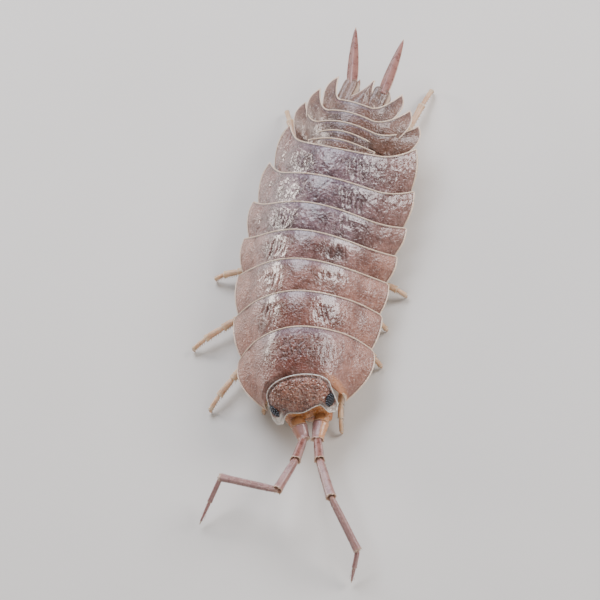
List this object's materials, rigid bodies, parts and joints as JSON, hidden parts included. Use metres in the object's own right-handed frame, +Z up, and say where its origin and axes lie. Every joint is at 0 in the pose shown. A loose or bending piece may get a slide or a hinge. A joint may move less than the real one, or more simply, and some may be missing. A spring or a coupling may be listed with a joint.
{
  "type": "woodlouse",
  "caption": "Life-size woodlouse standing on its legs, with overlapping back plates, a lobed head, jointed feelers and a pointed tail with tail feelers.",
  "frame": {"origin": "on the floor, below the middle of the whole animal's box", "axes": "+Z up from the floor, +Y toward the tail, +X toward the animal's left; the head looks toward -Y"},
  "size_m": [0.0106, 0.0285, 0.0041],
  "materials": {
    "shell": "glossy, finely pitted",
    "head": "granular, satin",
    "eye": "glossy black",
    "feeler": "satin",
    "limb": "satin, slightly see-through"
  },
  "bodies": {
    "root": {"head": "head", "eye_left": "eye", "eye_right": "eye", "mouthparts": "limb", "antenna_left_base": "feeler", "antenna_left_article_4": "feeler", "antenna_left_article_5": "feeler", "antenna_left_flagellum": "feeler", "antenna_right_base": "feeler", "antenna_right_article_4": "feeler", "antenna_right_article_5": "feeler", "antenna_right_flagellum": "feeler", "pereonite_1": "shell", "pereonite_2": "shell", "pereonite_3": "shell", "pereonite_4": "shell", "pereonite_5": "shell", "pereonite_6": "shell", "pereonite_7": "shell", "pleon": "shell", "telson": "shell", "uropod_left": "feeler", "uropod_right": "feeler", "leg_left_1": "limb", "leg_left_2": "limb", "leg_left_3": "limb", "leg_left_4": "limb", "leg_left_5": "limb", "leg_left_6": "limb", "leg_left_7": "limb", "leg_right_1": "limb", "leg_right_2": "limb", "leg_right_3": "limb", "leg_right_4": "limb", "leg_right_5": "limb", "leg_right_6": "limb", "leg_right_7": "limb"}
  },
  "joints": []
}
